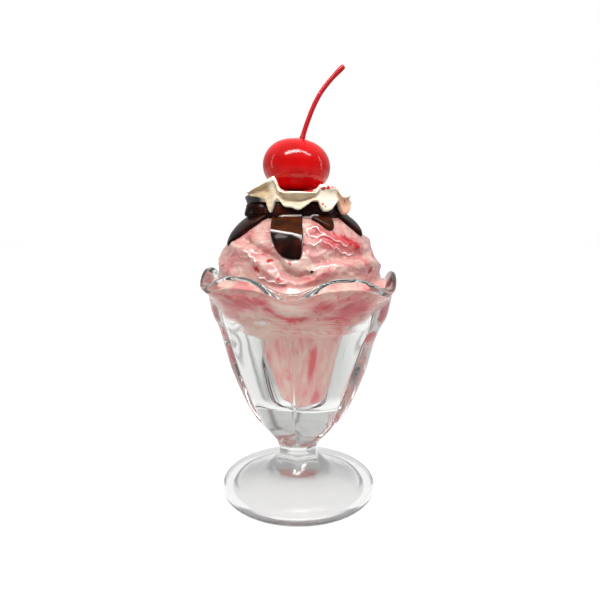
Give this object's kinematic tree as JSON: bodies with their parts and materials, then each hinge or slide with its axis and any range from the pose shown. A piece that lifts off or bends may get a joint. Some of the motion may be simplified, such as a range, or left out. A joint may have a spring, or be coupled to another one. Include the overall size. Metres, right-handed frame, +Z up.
{
  "type": "ice cream sundae",
  "caption": "Strawberry ripple ice cream mounded in a footed tulip dish of lobed pressed glass, with a fudge cap, whipped cream and a cherry on its stalk",
  "frame": {"origin": "on the floor under the middle of the dish", "axes": "+Z up along the dish's axis, front of the sundae towards -Y, +X to the right"},
  "size_m": [0.0903, 0.0948, 0.2019],
  "materials": {
    "glass": "clear pressed soda glass, fire-polished",
    "ice_cream": "wet strawberry ripple ice cream, pale pink with rose streaks",
    "fudge_sauce": "glossy dark chocolate fudge",
    "whipped_cream": "satin ivory whipped cream",
    "cherry": "glossy red cocktail cherry",
    "cherry_stalk": "dyed dark red stalk"
  },
  "bodies": {
    "root": {"glass": "glass", "ice_cream": "ice_cream", "fudge_sauce": "fudge_sauce", "whipped_cream": "whipped_cream", "cherry": "cherry", "cherry_stalk": "cherry_stalk"}
  },
  "joints": []
}
